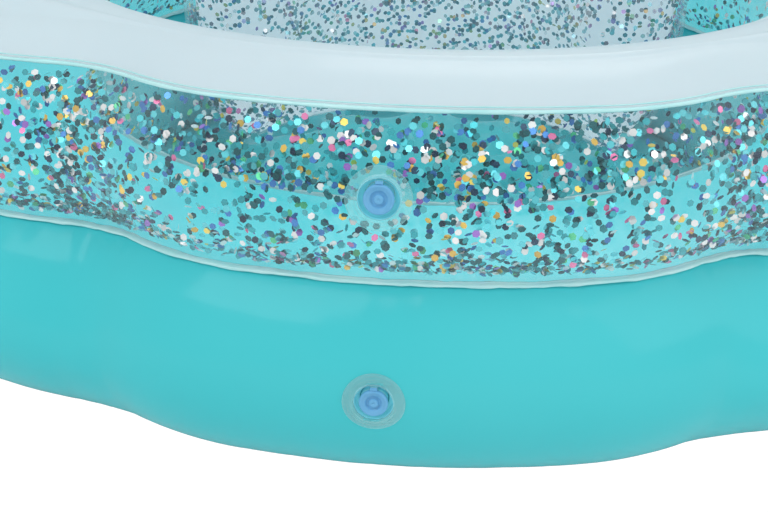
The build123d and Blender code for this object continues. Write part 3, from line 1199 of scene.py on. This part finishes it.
# ---------------------------------------------------------------- valves
@dataclass
class PushValve:
    """A push-in valve: clear flange and cup on the wall, milky stem, blue plug, strap and flap.

    Profiles are radius and height pairs from the valve's axis and the wall, in millimetres.
    """

    finishes: Finishes
    place: ValvePlace
    curve_x: float = 0.0
    curve_y: float = 0.0
    around: int = 72
    cup_top: float = -1.5
    cup_foot: float = -8.3
    flange: tuple = (
        (12.5, 0.1), (13.3, 0.2), (19.2, 0.2), (19.9, 0.35), (20.0, 0.75), (19.5, 1.15),
        (18.7, 1.2), (18.1, 0.8), (17.2, 0.75), (16.6, 1.15), (16.0, 1.15), (15.4, 0.85),
        (14.5, 1.5), (13.7, 1.9), (12.9, 1.8), (12.45, 1.3),
    )
    cup: tuple = (
        (12.4, -1.5), (13.2, -1.5), (13.2, -3.5), (13.2, -5.5), (13.2, -7.4), (12.9, -8.3),
        (11.0, -8.3), (9.3, -8.3), (9.3, -7.5), (11.0, -7.5), (12.1, -7.4), (12.4, -6.9),
        (12.4, -5.5), (12.4, -3.5),
    )
    plug: tuple = (
        (0.01, 1.3), (1.9, 1.3), (2.7, 1.1), (3.0, 0.5), (3.1, -0.7), (3.7, -0.8), (4.8, -0.7),
        (5.2, 0.35), (5.7, 0.85), (7.2, 0.95), (7.6, 1.4), (8.5, 1.4), (9.1, 0.9), (9.25, 0.2),
        (9.2, -0.7), (8.9, -1.05), (5.0, -1.1), (4.95, -1.3), (4.1, -4.1), (3.6, -4.3), (0.01, -4.3),
    )

    def lathe(self, name: str, profile: tuple, slot: str, body: str, nodes: tuple,
              bend: bool = False) -> bpy.types.Object:
        """Turns a closed profile about the valve's axis.

        Args:
            name: Last part of the piece's name.
            profile: Radius and height pairs, in millimetres.
            slot: Its finish.
            body: CAD body that it rides on, or empty for a piece that is left without a body.
            nodes: CAD nodes that it stands for.
            bend: True if it follows the curve of the wall.

        Returns:
            The piece.
        """
        r, z = np.array(profile).T * MM
        a = np.linspace(0, 2 * math.pi, self.around, endpoint=False)
        x, y = np.cos(a)[:, None] * r[None], np.sin(a)[:, None] * r[None]
        height = np.repeat(z[None], self.around, 0)
        if bend:
            height = height - self.curve_x * x**2 / 2 - self.curve_y * y**2 / 2
        verts = self.place.world(np.stack([x, y, height], -1).reshape(-1, 3))
        faces = grid_faces(self.around, len(r), wrap=True, wrap_columns=True, flip=True)
        piece = make_piece(f"{self.place.name}_{name}", verts, faces, self.finishes[slot])
        if body:
            dress(piece, body, nodes)
        report(piece)
        return piece

    def build(self) -> None:
        """Builds the valve's pieces and dresses the CAD ones that stay shown."""
        v = self.place.name
        self.lathe("flange", self.flange, "clear_valve", SHELL_BODY, (f"{v}_valve_flange",), bend=True)
        piece = self.lathe("cup", self.cup, "cup_vinyl", "", ())
        start, end = self.place.world(np.array([[0, 0, self.cup_top], [0, 0, self.cup_foot]]) * MM)
        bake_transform(piece)
        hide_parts(f"{v}_valve_cup")
        self.lathe("plug", self.plug, "blue_plug", f"{v}_plug", (f"{v}_valve_plug",))
        for part, slot in (("stem", "stem_vinyl"), ("strap", "blue_plug"), ("flap", "flap_vinyl")):
            node = frame["nodes"][f"{v}_valve_{part}"]
            node.data.materials.clear()
            node.data.materials.append(self.finishes[slot])


# ---------------------------------------------------------------- studio
@dataclass
class Studio:
    """Pale floor, soft lights and a camera that looks down at the near side."""

    place: tuple = (0.01457, -1.0176, 0.490)
    yaw: float = -3.115
    pitch: float = 28.204
    roll: float = 0.99
    lens: float = 50.1
    world_strength: float = 0.64
    ground_glow: float = 1.1
    floor_reach: float = 12.0
    floor_tone: float = 0.93
    floor_rough: float = 0.9
    lights: tuple = (
        ("key", (-1.1, -1.6, 2.3), 1.6, 21),
        ("fill", (1.8, -1.1, 1.4), 1.8, 12),
        ("back", (0.3, 2.2, 2.2), 1.6, 16),
    )

    def camera(self) -> None:
        """Makes the scene's camera."""
        data = bpy.data.cameras.new("camera")
        data.lens, data.sensor_width, data.clip_start = self.lens, 36, 0.01
        camera = bpy.data.objects.new("camera", data)
        bpy.context.scene.collection.objects.link(camera)
        y, p = math.radians(self.yaw), math.radians(self.pitch)
        forward = Vector((math.sin(y) * math.cos(p), math.cos(y) * math.cos(p), -math.sin(p)))
        turn = forward.to_track_quat("-Z", "Y").to_matrix()
        turn = turn @ Matrix.Rotation(math.radians(self.roll), 3, "Z")
        camera.matrix_world = Matrix.Translation(self.place) @ turn.to_4x4()
        bpy.context.scene.camera = camera

    def light(self, name: str, at: tuple, size: float, power: float, towards: tuple = (0, 0, 0.2)) -> None:
        """Makes one square soft light.

        Args:
            name: Name of the light.
            at: Its place.
            size: Length of its side, in metres.
            power: Its power, in watts.
            towards: The point that it faces.
        """
        data = bpy.data.lights.new(name, "AREA")
        data.size, data.energy = size, power
        lamp = bpy.data.objects.new(name, data)
        bpy.context.scene.collection.objects.link(lamp)
        lamp.location = at
        lamp.rotation_euler = (Vector(towards) - Vector(at)).to_track_quat("-Z", "Y").to_euler()

    def build(self) -> None:
        """Makes the floor, the lights, the world and the camera."""
        far = self.floor_reach
        corners = ((-far, -far), (far, -far), (far, far), (-far, far))
        verts = np.array([(x, y, -MM) for x, y in corners])
        white = bpy.data.materials.new("studio_floor")
        white.use_nodes = True
        surface = white.node_tree.nodes["Principled BSDF"]
        surface.inputs["Base Color"].default_value = (*[self.floor_tone] * 3, 1)
        surface.inputs["Roughness"].default_value = self.floor_rough
        nodes, links = white.node_tree.nodes, white.node_tree.links
        seen, glow = nodes.new("ShaderNodeLightPath"), nodes.new("ShaderNodeEmission")
        glow.inputs["Strength"].default_value = self.ground_glow
        share = mix_shaders(white, surface.outputs["BSDF"], glow.outputs["Emission"])
        links.new(seen.outputs["Is Camera Ray"], share)
        floor = make_piece("studio_floor", verts, [[0, 1, 2, 3]], white)
        world = bpy.data.worlds.new("studio")
        world.use_nodes = True
        world.node_tree.nodes["Background"].inputs["Color"].default_value = (1, 1, 1, 1)
        nodes, links = world.node_tree.nodes, world.node_tree.links
        seen, strength = nodes.new("ShaderNodeLightPath"), nodes.new("ShaderNodeMath")
        strength.operation = "MULTIPLY_ADD"
        strength.inputs[1].default_value = self.ground_glow - self.world_strength
        strength.inputs[2].default_value = self.world_strength
        links.new(seen.outputs["Is Camera Ray"], strength.inputs[0])
        links.new(strength.outputs[0], nodes["Background"].inputs["Strength"])
        bpy.context.scene.world = world
        bpy.context.scene.view_settings.view_transform = "Standard"
        for lamp in self.lights:
            self.light(*lamp)
        self.camera()


# ---------------------------------------------------------------- assembly
def main() -> None:
    """Builds the float piece by piece, in order."""
    logging.basicConfig(level=logging.INFO, format="%(message)s")
    finishes = Finishes()
    finishes.build()
    names = ("base_ring", "top_ring", "floor", "backrest")
    valves = {name: ValvePlace.read(name, frame["joints"]) for name in names}
    rings = Rings(finishes, valves)
    rings.build()
    AirFloor(finishes, valves).build()
    backrest = Backrest(finishes, valves)
    backrest.build()
    Sequins(finishes, rings, backrest).build()
    nose = 1 / Outline.radii[0]
    bends = {"base_ring": (nose, 1 / rings.base_radius), "top_ring": (nose, 1 / rings.top_radius),
             "floor": (0.0, 0.0), "backrest": backrest.valve_bend}
    for name in names:
        PushValve(finishes, valves[name], *bends[name]).build()
    # The divider sheet takes the glowing divider finish: painted light in the shaded chamber
    for node, finish in (("bottom_sheet", "turquoise_film"), ("divider_sheet", "divider_film")):
        frame["nodes"][node].data.materials.clear()
        frame["nodes"][node].data.materials.append(finishes[finish])
    Studio().build()


if __name__ == "__main__":
    main()
